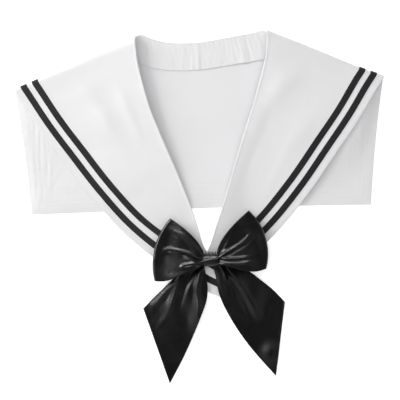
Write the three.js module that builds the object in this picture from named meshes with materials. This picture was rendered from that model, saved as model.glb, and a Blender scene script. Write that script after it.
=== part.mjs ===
// Sailor collar of white cotton with twin black tapes, a gathered neck band and a black satin bow.
// It lies flat: the back panel is wrong side up, and both front wings are folded over it at the
// shoulders and lapped under the bow. X runs across the shoulders, Y from the front to the neck.
import * as THREE from "three";

// Outline of the laid collar, in millimetres, measured from the line through the two neck points
const shoulderSpan = 400; // across the folded shoulder tips
const shoulderFall = 53.5; // shoulder tips below the neck points
const neckSpan = 142; // between the neck points
const neckShift = 3.8; // the neckline lies this far to the right of the middle
const neckDip = 12; // drop of the back neckline between the neck points
const backDrop = 190.6; // neck points to the back hem
const backHemWidth = 367;
const hemShift = 3; // the hem lies this far to the left of the middle
const hemTilt = 2.4; // and its right end lower by this
const hemRise = 1.6; // the hem bows up this far in the middle
const sideHollow = 1.5; // the sides of the back panel bow in this far
const frontDrop = 289.5; // neck points to the lowest corner of the front ends
const frontEndDepth = 34.5; // height of the blunt front ends

// Cloth and tapes
const clothThickness = 1.2;
const tapeWidth = 6.9;
const tapeSpacing = 5.9; // between the two tapes
const tapeBorder = 8; // cloth outside the outer tape
const tapeThickness = 1;
const tapeRunoff = 4; // the cloth settles back to its level this far beside a tape
const clearance = 0.3; // between pieces that touch on the real collar
const restClearance = 0.1; // the tapes under the back panel stay this far off the ground

// Heights of the folded wings above the layers that they lie on
const neckRise = 15; // the rolled neck edge at the shoulder
const edgeRise = 6; // the outer edge at the shoulder tip
const neckRoll = 1.6; // how late a wing rises towards its neck edge, as a power
const lapSpare = 0.4; // slack between the two lapped front ends

// Gathered band along the back neckline
const bandHeight = 30;
const bandThickness = 1;
const bandProud = 2.4; // its top edge stands above the neckline
const bandTuck = 8; // its lower corners reach under the wings
const gatherCount = 9;
const gatherDepth = 0.7;
const gatherTop = 0.35; // share of that depth at the top edge
const bandMargin = 0.035; // share of the neckline that it leaves free at each end

// Bow of wide satin ribbon
const ribbonThickness = 1;
const knotWidth = 15.5;
const knotHeight = 15;
const knotDepth = 11;
const knotWall = 1.2;
const knotCorner = 4;
const knotDrop = 8.8; // middle of the knot below the point where the neck edges cross
const knotAside = 3.9; // and to the right of it
const pinchWidth = 8.4; // the ribbon gathered inside the knot
const loopReach = 62; // knot to the outer end of a loop
const loopPuff = 6; // half the height of an open loop
const loopDroop = 3; // the outer ends of the loops sink this far
const upperDroop = 0.55; // share of it along a loop's upper edge
const loopPleat = 0.8; // depth of the pleats inside the knot
const loopFold = 1.2; // and of the folds that they open into
const tailReach = 132; // knot down to the tip of the longer tail
const tailFold = 2; // height of the long folds in a tail
const pinLength = 24;
const pinWidth = 5;
const pinThickness = 1.2;
const pinCorner = 2.3; // radius of its round ends

// Colours and finishes
const cottonWhite = new THREE.MeshStandardMaterial({ color: 0xf2f2f3, roughness: 0.85, metalness: 0 });
const bandWhite = new THREE.MeshStandardMaterial({ color: 0xeeeeef, roughness: 0.85, metalness: 0 });
const tapeBlack = new THREE.MeshStandardMaterial({ color: 0x242426, roughness: 0.8, metalness: 0 });
const satinBlack = new THREE.MeshStandardMaterial({ color: 0x17171a, roughness: 0.4, metalness: 0 });
const pinSteel = new THREE.MeshStandardMaterial({ color: 0xb8bcc0, roughness: 0.3, metalness: 1 });

// Levels of the layers, as the height of a piece's middle surface
const panelLevel = clothThickness / 2;
const tapeLift = tapeThickness + clearance + restClearance;
const overPanel = clothThickness + tapeLift + clearance;
const lapLift = clothThickness + tapeThickness + 2 * clearance + lapSpare;
const bowLevel = clothThickness + lapLift + tapeThickness + 2 * clearance;

const mix = THREE.MathUtils.lerp;
const flat = (x, y) => new THREE.Vector2(x, y);

// A table whose rows hold the named columns in order.
function table(columns, rows) {
  const names = columns.split(" ");
  return rows.map((row) => Object.fromEntries(row.map((value, i) => [names[i], value])));
}

// The value of a table's column at a place between its rows, on a smooth curve through every row.
function columnAt(rows, name, at) {
  const slopeTo = (i) => (rows[i + 1][name] - rows[i][name]) / (rows[i + 1].at - rows[i].at);
  const slopeAt = (i) => {
    if (i === 0) return slopeTo(0);
    if (i === rows.length - 1) return slopeTo(i - 1);
    const before = rows[i].at - rows[i - 1].at;
    const after = rows[i + 1].at - rows[i].at;
    return (slopeTo(i - 1) * after + slopeTo(i) * before) / (before + after);
  };
  let i = 0;
  while (i < rows.length - 2 && at > rows[i + 1].at) i += 1;
  const span = rows[i + 1].at - rows[i].at;
  const t = (at - rows[i].at) / span;
  const start = rows[i][name] * (1 + 2 * t) * (1 - t) ** 2 + slopeAt(i) * span * t * (1 - t) ** 2;
  const end = rows[i + 1][name] * (3 - 2 * t) * t ** 2 - slopeAt(i + 1) * span * t ** 2 * (1 - t);
  return start + end;
}

// A front wing from its front end (at 0) to the shoulder fold (at 1). Out is a share of half the
// shoulder or neck span, down a share of the way to the front end. Over and lap say how much of
// the back panel or of the other wing lies under it, and the lifts are shares of the two rises.
const wingColumns = "at edgeOut edgeDown neckOut neckDown over lap edgeLift neckLift";
const leftWing = table(wingColumns, [
  [0, -0.111, 1, -0.338, 1, 0, 1, 0, 0],
  [0.07, -0.011, 0.96, -0.13, 0.962, 0, 1, 0, 0.02],
  [0.16, 0.12, 0.892, 0.039, 0.919, 0, 1, 0, 0.07],
  [0.3, 0.302, 0.777, 0.166, 0.803, 0, 0.1, 0.06, 0.31],
  [0.43, 0.455, 0.656, 0.282, 0.696, 0.3, 0, 0.05, 0.34],
  [0.56, 0.596, 0.512, 0.477, 0.543, 1, 0, 0.06, 0.37],
  [0.71, 0.742, 0.34, 0.69, 0.385, 1, 0, 0.02, 0.57],
  [0.86, 0.877, 0.169, 0.865, 0.232, 1, 0, 0.08, 0.73],
  [0.95, 0.957, 0.055, 0.98, 0.074, 1, 0, 0.25, 0.83],
  [1, 0.993, 0, 1, 0, 1, 0, 0.5, 0.87],
]);
const rightWing = table(wingColumns, [
  [0, -0.1, 1, -0.34, 1, 0, 0, 0, 0],
  [0.07, -0.01, 0.96, -0.17, 0.962, 0, 0, 0, 0],
  [0.16, 0.115, 0.892, -0.03, 0.919, 0, 0, 0, 0.03],
  [0.3, 0.284, 0.777, 0.123, 0.803, 0, 0, 0.06, 0.19],
  [0.43, 0.43, 0.656, 0.259, 0.696, 0.3, 0, 0.12, 0.27],
  [0.56, 0.572, 0.512, 0.432, 0.543, 1, 0, 0.3, 0.34],
  [0.71, 0.72, 0.34, 0.62, 0.385, 1, 0, 0.75, 0.54],
  [0.86, 0.863, 0.169, 0.804, 0.232, 1, 0, 0.9, 0.7],
  [0.95, 0.948, 0.055, 0.96, 0.074, 1, 0, 0.75, 0.8],
  [1, 0.993, 0, 0.99, 0, 1, 0, 0.5, 0.87],
]);

// The back neckline from the left neck point to the right one, its drop as a share of the dip.
const neckline = table("at drop", [
  [0, 0.3],
  [0.04, 0.08],
  [0.11, 0.45],
  [0.23, 0.87],
  [0.35, 1],
  [0.5, 0.98],
  [0.66, 0.72],
  [0.82, 0.42],
  [0.96, 0.08],
  [1, 0.3],
]);

// Ribs of the cloth: how each runs from the outer edge past both tapes to the neck edge
const tapePitch = tapeWidth + tapeSpacing;
const insets = [
  0,
  tapeBorder - tapeRunoff / 2,
  tapeBorder,
  tapeBorder + tapeWidth,
  tapeBorder + tapePitch,
  tapeBorder + tapePitch + tapeWidth,
];
const innerColumns = 4;
const outerTape = { first: 2, last: 3 };
const innerTape = { first: 4, last: 5 };

// Plan of one rib. The tapes keep their distance from the outer edge, so they turn its corners.
function ribPlan(edge, neck, before, after, mitred) {
  const middle = before.clone().add(after).normalize();
  const along = mitred ? middle.clone() : neck.clone().sub(edge).normalize();
  along.divideScalar(along.dot(middle) * middle.dot(before));
  const plan = insets.map((inset) => edge.clone().addScaledVector(along, inset));
  const last = plan[plan.length - 1];
  const first = Math.min(tapeRunoff / last.distanceTo(neck), 1 / innerColumns);
  for (let k = 0; k <= innerColumns; k += 1) {
    plan.push(last.clone().lerp(neck, mix(first, 1, k / innerColumns)));
  }
  return plan;
}

// The plan of every rib between a list of edge points and one of neck points.
function ribPlans(edges, necks, inwardSide, corners = []) {
  const inward = (a, b) => flat(a.y - b.y, b.x - a.x).normalize().multiplyScalar(inwardSide);
  return edges.map((edge, i) => {
    const before = inward(edges[Math.max(i - 1, 0)], edges[Math.max(i, 1)]);
    const last = edges.length - 1;
    const after = inward(edges[Math.min(i, last - 1)], edges[Math.min(i + 1, last)]);
    return ribPlan(edge, necks[i], before, after, corners.includes(i));
  });
}

// A round fold swings out by a share of its rise, so its ribs start that far inside the outline
const tipDrop = shoulderFall + 0.45 * edgeRise;
const neckTop = -0.6 * neckRise;
const wingRibs = 22;

// One wing, from its front end to the shoulder fold. Side is -1 for the left wing and 1 for the right.
function wing(rows, side) {
  const places = Array.from({ length: wingRibs }, (_, i) => i / (wingRibs - 1));
  const edges = places.map((at) =>
    flat(
      side * columnAt(rows, "edgeOut", at) * (shoulderSpan / 2),
      mix(-tipDrop, -frontDrop, columnAt(rows, "edgeDown", at)),
    ),
  );
  const necks = places.map((at) =>
    flat(
      neckShift + side * columnAt(rows, "neckOut", at) * (neckSpan / 2),
      mix(neckTop, frontEndDepth - frontDrop, columnAt(rows, "neckDown", at)),
    ),
  );
  return ribPlans(edges, necks, side).map((plan, i) => {
    const column = (name) => columnAt(rows, name, places[i]);
    const base = panelLevel + column("over") * overPanel + column("lap") * lapLift;
    const edgeHeight = base + column("edgeLift") * edgeRise;
    const neckHeight = base + column("neckLift") * neckRise;
    const width = plan[0].distanceTo(plan[plan.length - 1]);
    return plan.map((p) => {
      const share = Math.min(plan[0].distanceTo(p) / width, 1);
      return new THREE.Vector3(p.x, p.y, mix(edgeHeight, neckHeight, share ** neckRoll));
    });
  });
}

const sideRibs = 7;
const hemRibs = 14;

// The back panel from the left shoulder fold down its side, along the hem and up the right side.
function backPanel(leftFold, rightFold) {
  const edges = [];
  const necks = [];
  const neckAt = (at) =>
    flat(mix(leftFold.neck.x, rightFold.neck.x, at), -columnAt(neckline, "drop", at) * neckDip);
  const side = (fold, corner) =>
    Array.from({ length: sideRibs }, (_, i) => {
      const share = i / sideRibs;
      const hollow = Math.sign(corner.x) * sideHollow * Math.sin(Math.PI * share);
      return flat(mix(fold.edge.x, corner.x, share) - hollow, mix(fold.edge.y, corner.y, share));
    });
  const corners = [
    flat(-backHemWidth / 2 - hemShift, hemTilt / 2 - backDrop),
    flat(backHemWidth / 2 - hemShift, -hemTilt / 2 - backDrop),
  ];
  const cornerShare = 0.14;
  side(leftFold, corners[0]).forEach((edge, i) => {
    edges.push(edge);
    necks.push(i === 0 ? leftFold.neck : neckAt((cornerShare * i) / sideRibs));
  });
  for (let i = 0; i <= hemRibs; i += 1) {
    const share = i / hemRibs;
    const rise = hemRise * Math.sin(Math.PI * share);
    edges.push(corners[0].clone().lerp(corners[1], share).add(flat(0, rise)));
    necks.push(neckAt(mix(cornerShare, 1 - cornerShare, share)));
  }
  side(rightFold, corners[1])
    .reverse()
    .forEach((edge, i) => {
      const last = i === sideRibs - 1;
      edges.push(edge);
      necks.push(last ? rightFold.neck : neckAt(1 - (cornerShare * (sideRibs - 1 - i)) / sideRibs));
    });
  const raised = (column) => column >= outerTape.first && column <= innerTape.last;
  return ribPlans(edges, necks, 1, [sideRibs, sideRibs + hemRibs]).map((plan) =>
    plan.map((p, column) => new THREE.Vector3(p.x, p.y, panelLevel + (raised(column) ? tapeLift : 0))),
  );
}

const foldSteps = 5;

// The round shoulder fold between a wing's last rib and the back panel's rib under it.
function shoulderFold(upper, lower, side) {
  const slope = flat(side * shoulderFall, (shoulderSpan - neckSpan) / 2).normalize();
  const ribs = [];
  for (let k = 1; k < foldSteps; k += 1) {
    const turn = (Math.PI * k) / foldSteps;
    ribs.push(
      upper.map((p, column) => {
        const radius = (p.z - lower[column].z) / 2;
        const point = p.clone().lerp(lower[column], (1 - Math.cos(turn)) / 2);
        const out = slope.clone().lerp(flat(0, 1), column / (upper.length - 1)).normalize();
        point.x += out.x * radius * Math.sin(turn);
        point.y += out.y * radius * Math.sin(turn);
        return point;
      }),
    );
  }
  return ribs;
}

// The normals of a grid of points, towards the right side of the cloth.
function gridNormals(grid) {
  return grid.map((line, i) =>
    line.map((_, j) => {
      const before = grid[Math.max(i - 1, 0)][j];
      const after = grid[Math.min(i + 1, grid.length - 1)][j];
      const outer = line[Math.max(j - 1, 0)];
      const inner = line[Math.min(j + 1, line.length - 1)];
      return inner.clone().sub(outer).cross(after.clone().sub(before)).normalize();
    }),
  );
}

// A closed sheet on a grid of points, between two distances along the normals.
function sheet(grid, normals, low, high, first = 0, last = grid[0].length - 1) {
  const width = last - first + 1;
  const layer = grid.length * width;
  const positions = [];
  [high, low].forEach((distance) => {
    grid.forEach((line, i) => {
      for (let j = first; j <= last; j += 1) {
        const point = line[j].clone().addScaledVector(normals[i][j], distance);
        positions.push(point.x, point.y, point.z);
      }
    });
  });
  const faces = [];
  const put = (a, b, c) => {
    faces.push(a, b, c);
    faces.push(c + layer, b + layer, a + layer);
  };
  for (let i = 0; i + 1 < grid.length; i += 1) {
    for (let j = 0; j + 1 < width; j += 1) {
      const a = i * width + j;
      const [b, c, d] = [a + 1, a + width + 1, a + width];
      const [near, far] = [grid[i].slice(first + j), grid[i + 1].slice(first + j)];
      if (near[0].distanceTo(far[1]) < near[1].distanceTo(far[0])) {
        put(a, b, c);
        put(a, c, d);
      } else {
        put(a, b, d);
        put(b, c, d);
      }
    }
  }
  const rim = [];
  for (let j = 0; j < width - 1; j += 1) rim.push(j);
  for (let i = 0; i < grid.length - 1; i += 1) rim.push(i * width + width - 1);
  for (let j = width - 1; j > 0; j -= 1) rim.push((grid.length - 1) * width + j);
  for (let i = grid.length - 1; i > 0; i -= 1) rim.push(i * width);
  rim.forEach((p, k) => {
    const q = rim[(k + 1) % rim.length];
    faces.push(p + layer, q + layer, q, p + layer, q, p);
  });
  const geometry = new THREE.BufferGeometry();
  geometry.setAttribute("position", new THREE.Float32BufferAttribute(positions, 3));
  geometry.setIndex(faces);
  geometry.computeVertexNormals();
  return geometry;
}

function piece(name, geometry, material) {
  const mesh = new THREE.Mesh(geometry, material);
  mesh.name = name;
  return mesh;
}

// The cloth and its two tapes share one grid, which runs from the left front end round to the right one
const left = wing(leftWing, -1);
const right = wing(rightWing, 1);
const foldOf = (ribs) => {
  const rib = ribs[ribs.length - 1];
  const neck = rib[rib.length - 1];
  return { edge: flat(rib[0].x, rib[0].y), neck: flat(neck.x, neck.y) };
};
const panel = backPanel(foldOf(left), foldOf(right));
const clothGrid = [
  ...left,
  ...shoulderFold(left[left.length - 1], panel[0], -1),
  ...panel,
  ...shoulderFold(right[right.length - 1], panel[panel.length - 1], 1).reverse(),
  ...right.toReversed(),
];
const clothNormals = gridNormals(clothGrid);
const cloth = sheet(clothGrid, clothNormals, -clothThickness / 2, clothThickness / 2);
const tapeLow = clothThickness / 2 + clearance;
const tapeOn = ({ first, last }) =>
  sheet(clothGrid, clothNormals, tapeLow, tapeLow + tapeThickness, first, last);

// The neck band lies on the back panel below its neckline, in soft upright gathers.
function neckBand() {
  const columns = 5;
  const stations = gatherCount * 4;
  const bandLevel = clothThickness + clearance + bandThickness / 2;
  const [leftEnd, rightEnd] = [foldOf(left).neck.x, foldOf(right).neck.x];
  const grid = Array.from({ length: stations + 1 }, (_, i) => {
    const at = i / stations;
    const inside = mix(bandMargin, 1 - bandMargin, at);
    const top = -columnAt(neckline, "drop", inside) * neckDip + bandProud;
    return Array.from({ length: columns + 1 }, (__, j) => {
      const down = j / columns;
      const reach = bandTuck * down * (2 * at - 1);
      const depth = gatherDepth * mix(gatherTop, 1, down);
      const wave = depth * (1 - Math.cos(2 * Math.PI * gatherCount * at));
      const x = mix(leftEnd, rightEnd, inside) + reach;
      return new THREE.Vector3(x, top - bandHeight * down, bandLevel + wave);
    });
  });
  return sheet(grid, gridNormals(grid), -bandThickness / 2, bandThickness / 2);
}

// Bow: levels of its layers from the pin up, at the place where the neck edges cross
const crossing = leftWing[2];
const pinLevel = bowLevel + (crossing.neckLift * neckRise) / 2;
const tailLevel = pinLevel + pinThickness + clearance + ribbonThickness / 2;
const knotBase = tailLevel + ribbonThickness / 2 + tailFold / 2 + clearance;
const knotTop = knotBase + knotDepth;
const pinchInset = knotWall + 2 * clearance + ribbonThickness / 2 + loopPleat;
const pinchLow = knotBase + pinchInset;
const pinchHigh = knotTop - pinchInset;

// Shapes of the loops: angles of the upper and lower edge from the level line, their lengths as
// shares of the loop's reach, how early each edge swings out from the knot, and how far the lower
// edge bellies down between the knot and the end.
const loopColumns = "topAngle topReach topSwing lowAngle lowReach lowSwing belly";
const [leftLoop, rightLoop] = table(loopColumns, [
  [47.4, 0.99, 0.62, -19.5, 1.04, 1, 3.9],
  [49.6, 1.07, 0.6, -11.8, 0.98, 0.75, 3.6],
]);

const loopPleats = 3;

// One loop: the ribbon leaves the knot low, turns over at the outer end and comes back high.
function bowLoop(shape, side) {
  const across = 4 * loopPleats;
  const open = 0.58; // share of the reach where the loop stands widest
  const out = [-1, 0, 0.06, 0.17, 0.3, 0.44]; // first inside the knot, then from its mouth
  const cap = [0, 30, 60, 90, 120, 150, 180];
  const stations = [
    ...out.map((reach) => ({ reach, level: -1 })),
    ...cap.map((degrees) => {
      const turn = THREE.MathUtils.degToRad(degrees);
      return { reach: open + (1 - open) * Math.sin(turn), level: -Math.cos(turn) };
    }),
    ...out.toReversed().map((reach) => ({ reach, level: 1 })),
  ];
  const grid = stations.map(({ reach, level }) =>
    Array.from({ length: across + 1 }, (_, j) => {
      const v = j / across;
      const angle = THREE.MathUtils.degToRad(mix(shape.topAngle, shape.lowAngle, v));
      const length = loopReach * mix(shape.topReach, shape.lowReach, v);
      const freed = Math.max(reach, 0);
      const mouth = knotWidth / 2 + clearance;
      const x = reach < 0 ? clearance : mix(mouth, length * Math.cos(angle), reach);
      const swing = freed ** mix(shape.topSwing, shape.lowSwing, v);
      const pinched = pinchWidth * (0.5 - v);
      const widest = Math.min(freed / open, 1);
      const half = mix((pinchHigh - pinchLow) / 2, loopPuff, widest);
      const depth = loopPleat * (1 - widest) + loopFold * Math.sin(Math.PI * widest);
      const pleat = depth * Math.cos(2 * Math.PI * loopPleats * v);
      const droop = loopDroop * freed ** 2 * mix(upperDroop, 1, v);
      const belly = shape.belly * v ** 3 * Math.sin(Math.PI * freed);
      const y = mix(pinched, length * Math.sin(angle), swing) - belly;
      const z = (pinchHigh + pinchLow) / 2 + half * level + pleat - droop;
      return new THREE.Vector3(side * x, y, z);
    }),
  );
  return sheet(grid, gridNormals(grid), -ribbonThickness / 2, ribbonThickness / 2);
}

// The tails from the knot (at 0) to their slant-cut ends (at 1). Outer and inner are the two edges of
// the ribbon, as shares of the tail reach from the middle of the knot, and high is the height as a
// share of the level at the knot.
const tailColumns = "at outerX outerY innerX innerY high";
const leftTail = table(tailColumns, [
  [0, 0.01, 0.04, 0.05, -0.035, 1],
  [0.05, 0.09, 0, 0.052, -0.075, 0.99],
  [0.12, 0.16, -0.03, 0.039, -0.15, 0.97],
  [0.3, 0.31, -0.15, 0.038, -0.31, 0.85],
  [0.5, 0.415, -0.245, 0.1, -0.48, 0.5],
  [0.75, 0.495, -0.318, 0.232, -0.765, 0.08],
  [1, 0.565, -0.386, 0.37, -1.01, 0],
]);
const rightTail = table(tailColumns, [
  [0, 0.01, 0.04, 0.016, -0.035, 1],
  [0.05, 0.09, 0, 0.021, -0.07, 0.99],
  [0.12, 0.16, -0.025, 0.034, -0.125, 0.98],
  [0.3, 0.31, -0.112, 0.06, -0.29, 0.88],
  [0.5, 0.42, -0.2, 0.135, -0.47, 0.5],
  [0.75, 0.51, -0.28, 0.285, -0.715, 0.08],
  [1, 0.596, -0.376, 0.5, -0.98, 0],
]);

const tailRidges = 2;

// One tail: it leaves from behind the knot and falls over the front ends to the ground.
function bowTail(rows, side) {
  const lengthwise = 14;
  const across = 5 * tailRidges;
  const ground = ribbonThickness / 2;
  const grid = Array.from({ length: lengthwise + 1 }, (_, i) => {
    const at = i / lengthwise;
    const high = Math.max(columnAt(rows, "high", at), 0);
    return Array.from({ length: across + 1 }, (__, j) => {
      const v = j / across;
      const x = mix(columnAt(rows, "outerX", at), columnAt(rows, "innerX", at), v);
      const y = mix(columnAt(rows, "outerY", at), columnAt(rows, "innerY", at), v);
      const ridge = (1 - Math.cos(2 * Math.PI * tailRidges * v)) / 2;
      const z = mix(ground, tailLevel, high) + tailFold * ridge * Math.sin(Math.PI * at);
      return new THREE.Vector3(side * x * tailReach, y * tailReach, z);
    });
  });
  return sheet(grid, gridNormals(grid), -ribbonThickness / 2, ribbonThickness / 2);
}

// Outline of a box with round corners, drawn the other way round for a hole.
function roundedBox(path, halfWidth, halfHeight, radius) {
  path.moveTo(halfWidth, -halfHeight + radius);
  path.absarc(halfWidth - radius, halfHeight - radius, radius, 0, Math.PI / 2);
  path.absarc(-halfWidth + radius, halfHeight - radius, radius, Math.PI / 2, Math.PI);
  path.absarc(-halfWidth + radius, -halfHeight + radius, radius, Math.PI, 1.5 * Math.PI);
  path.absarc(halfWidth - radius, -halfHeight + radius, radius, 1.5 * Math.PI, 2 * Math.PI);
  path.closePath();
  return path;
}

// The knot: a short band wrapped round the pinched ribbons, open to both sides.
function bowKnot() {
  const outline = roundedBox(new THREE.Shape(), knotDepth / 2, knotHeight / 2, knotCorner);
  const hole = roundedBox(
    new THREE.Path(),
    knotDepth / 2 - knotWall,
    knotHeight / 2 - knotWall,
    knotCorner - knotWall,
  );
  outline.holes.push(hole);
  const geometry = new THREE.ExtrudeGeometry(outline, {
    depth: knotWidth,
    steps: 2,
    curveSegments: 4,
    bevelEnabled: false,
  });
  geometry.translate(0, 0, -knotWidth / 2);
  geometry.rotateY(Math.PI / 2);
  return geometry;
}

// The pin behind the bow: a plain flat bar with round ends.
function bowPin() {
  const bar = roundedBox(new THREE.Shape(), pinLength / 2, pinWidth / 2, pinCorner);
  return new THREE.ExtrudeGeometry(bar, { depth: pinThickness, curveSegments: 4, bevelEnabled: false });
}

const bow = new THREE.Group();
bow.position.set(
  neckShift - (crossing.neckOut * neckSpan) / 2 + knotAside,
  mix(neckTop, frontEndDepth - frontDrop, crossing.neckDown) - knotDrop,
  0,
);
const knot = piece("bow_knot", bowKnot(), satinBlack);
knot.position.z = (knotBase + knotTop) / 2;
const pin = piece("bow_pin", bowPin(), pinSteel);
pin.position.z = pinLevel;
bow.add(
  piece("bow_loop_left", bowLoop(leftLoop, -1), satinBlack),
  piece("bow_loop_right", bowLoop(rightLoop, 1), satinBlack),
  piece("bow_tail_left", bowTail(leftTail, -1), satinBlack),
  piece("bow_tail_right", bowTail(rightTail, 1), satinBlack),
  knot,
  pin,
);

const collar = new THREE.Group();
collar.add(
  piece("collar_cloth", cloth, cottonWhite),
  piece("tape_outer", tapeOn(outerTape), tapeBlack),
  piece("tape_inner", tapeOn(innerTape), tapeBlack),
  piece("neck_band", neckBand(), bandWhite),
  bow,
);

// The origin is on the ground, under the middle of the whole piece
const extent = new THREE.Box3().setFromObject(collar, true);
const middle = extent.getCenter(new THREE.Vector3());
collar.position.set(-middle.x, -middle.y, 0);
const laid = new THREE.Group();
laid.add(collar);

export default laid;
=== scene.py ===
import math

import bpy
import numpy as np
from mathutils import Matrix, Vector


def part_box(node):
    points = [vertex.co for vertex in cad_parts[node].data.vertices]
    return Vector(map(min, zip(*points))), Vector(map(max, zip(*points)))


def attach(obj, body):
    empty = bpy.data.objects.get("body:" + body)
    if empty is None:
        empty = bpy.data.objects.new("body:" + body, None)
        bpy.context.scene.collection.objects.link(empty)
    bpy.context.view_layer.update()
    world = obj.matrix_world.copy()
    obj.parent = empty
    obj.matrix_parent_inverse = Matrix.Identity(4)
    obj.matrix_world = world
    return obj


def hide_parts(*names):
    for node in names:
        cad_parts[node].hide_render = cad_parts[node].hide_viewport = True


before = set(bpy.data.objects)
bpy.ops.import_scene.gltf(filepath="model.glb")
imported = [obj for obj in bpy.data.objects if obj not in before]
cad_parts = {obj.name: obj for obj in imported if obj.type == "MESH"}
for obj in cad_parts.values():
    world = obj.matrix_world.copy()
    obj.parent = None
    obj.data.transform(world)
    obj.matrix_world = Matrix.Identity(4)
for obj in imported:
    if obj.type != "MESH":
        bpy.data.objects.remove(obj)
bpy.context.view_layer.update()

# Table, lights and camera
# The collar lies on a white table under a large soft light from the upper left, and the camera
# looks straight down on it. It is turned a little, as the collar lies a little askew. Every size
# and place in this script is in millimetres, and a finished mesh is in metres.
MM = 0.001
photo_width = 432.9  # what the photograph spans at the collar
photo_middle = (-4.1, 7.6)
photo_turn = -2.1  # degrees

camera_data = bpy.data.cameras.new("camera")
camera_data.lens = 200
camera_data.sensor_width = 36
camera = bpy.data.objects.new("camera", camera_data)
camera_height = photo_width * camera_data.lens / camera_data.sensor_width
camera.location = Vector((*photo_middle, camera_height)) * MM
camera.rotation_euler = (0, 0, math.radians(photo_turn))
bpy.context.scene.collection.objects.link(camera)
bpy.context.scene.camera = camera
bpy.context.scene.view_settings.view_transform = "Standard"


def soft_light(name, place, size, power, colour):
    """A square lamp that looks at the middle of the table."""
    lamp = bpy.data.lights.new(name, "AREA")
    lamp.shape = "SQUARE"
    lamp.size = size * MM
    lamp.energy = power
    lamp.color = colour
    holder = bpy.data.objects.new(name, lamp)
    holder.location = Vector(place) * MM
    holder.rotation_euler = (-holder.location).to_track_quat("-Z", "Y").to_euler()
    bpy.context.scene.collection.objects.link(holder)
    return holder


# The window and the small lamp light everything. The glints only gleam on the satin, and the fill
# lights the cloth from above but isn't mirrored in the satin.
lamp_white = (1, 0.995, 0.985)
soft_light("window", (-1220, 560, 800), 1000, 10, lamp_white)
soft_light("small_lamp", (-900, 600, 900), 150, 2, lamp_white)
glint_size = 400
for name, place, power in (("left_glint", (-900, 600, 900), 15), ("top_glint", (-150, 1050, 900), 8)):
    glint = soft_light(name, place, glint_size, power, lamp_white)
    glint.visible_diffuse = False
fill = soft_light("fill", (0, 0, 2600), 2500, 35, (1, 0.985, 0.98))
fill.visible_glossy = False


class Shade:
    """One output in a material's nodes, which adds and multiplies as a number does."""

    def __init__(self, tree, output=None):
        self.tree, self.output = tree, output

    def node(self, kind, settings=None, inputs=None, out=0):
        made = self.tree.nodes.new(kind)
        for name, value in (settings or {}).items():
            setattr(made, name, value)
        for key, value in (inputs or {}).items():
            if isinstance(value, Shade):
                self.tree.links.new(value.output, made.inputs[key])
            else:
                made.inputs[key].default_value = value
        return Shade(self.tree, made.outputs[out])

    def __getitem__(self, name):
        return Shade(self.tree, self.output.node.outputs[name])

    def math(self, operation, *values):
        return self.node("ShaderNodeMath", {"operation": operation}, dict(enumerate(values)))

    def __add__(self, other):
        return self.math("ADD", self, other)

    def __sub__(self, other):
        return self.math("SUBTRACT", self, other)

    def __rsub__(self, other):
        return self.math("SUBTRACT", other, self)

    def __mul__(self, other):
        return self.math("MULTIPLY", self, other)

    __radd__ = __add__
    __rmul__ = __mul__


# White walls all round, brighter on the window's side, and a dark ceiling
wall_light = 0.44
window_side = 0.16
ceiling_light = 0.04
studio = bpy.data.worlds.new("studio")
studio.use_nodes = True
tree = Shade(studio.node_tree)
direction = tree.node("ShaderNodeTexCoord", out="Generated")
parts = tree.node("ShaderNodeSeparateXYZ", inputs={0: direction})
ceiling = tree.node(
    "ShaderNodeMapRange",
    {"interpolation_type": "SMOOTHSTEP"},
    {"Value": parts["Z"], "From Min": 0.8, "From Max": 0.96},
)
walls = wall_light + window_side * (parts["Y"] * 0.5 - parts["X"])
light = walls + ceiling * (ceiling_light - walls)
background = studio.node_tree.nodes["Background"]
background.inputs["Color"].default_value = (1, 0.985, 0.985, 1)
studio.node_tree.links.new(light.output, background.inputs["Strength"])
bpy.context.scene.world = studio

table_half = 3000
table_drop = 0.02  # the table's top is this much lower than the ground, so that nothing shares its plane
table_mesh = bpy.data.meshes.new("table")
table_corners = [(-1, -1), (1, -1), (1, 1), (-1, 1)]
table_mesh.from_pydata(
    [(x * table_half * MM, y * table_half * MM, -table_drop * MM) for x, y in table_corners],
    [],
    [(0, 1, 2, 3)],
)
table = bpy.data.objects.new("table", table_mesh)
bpy.context.scene.collection.objects.link(table)
white_board = bpy.data.materials.new("white_board")
white_board.use_nodes = True
board_shader = white_board.node_tree.nodes["Principled BSDF"]
board_shader.inputs["Base Color"].default_value = (0.93, 0.93, 0.93, 1)
board_shader.inputs["Roughness"].default_value = 0.9
board_shader.inputs["Specular IOR Level"].default_value = 0
board_shader.inputs["Emission Color"].default_value = (1, 1, 1, 1)
board_shader.inputs["Emission Strength"].default_value = 0.5
table_mesh.materials.append(white_board)

# Collar cloth
# White cotton, faced with the same cloth, so that its edges are turned in and pressed. It lies
# wrong side up at the back, and its two front wings are folded over that at the shoulders and
# lapped under the bow. The outline is measured from the line through the two neck points.
shoulder_span = 400
shoulder_fall = 53.5
neck_span = 142
neck_shift = 3.8
neck_dip = 12
back_drop = 190.6
back_hem_width = 367
hem_shift = 3  # the hem lies this far to the left
hem_tilt = 2.4  # and its right end lower by this
hem_rise = 1.6
side_hollow = 1.5
front_drop = 289.5
front_end_depth = 34.5
cloth_thickness = 1.1
neck_rise = 15
edge_rise = 6
neck_roll = 1.6
tip_drop = shoulder_fall + 0.45 * edge_rise
neck_top = -0.6 * neck_rise

tape_border = 8
tape_width = 6.9
tape_spacing = 5.9
tape_runoff = 4
tapes_end = tape_border + 2 * tape_width + tape_spacing
# At each wing's front end the border is wider and the tapes lie further apart by these
front_border = {-1: 1.2, 1: 0}
front_spacing = {-1: 2.2, 1: -1.1}

panel_level = 0.6  # middle of the cloth where it lies on the table
tape_lift = 0.6  # the back panel lies on its tapes
over_panel = 2.9  # a wing lies this much higher than the panel under it
lap_lift = 3.2  # and the left front end this much higher than the right one

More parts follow.
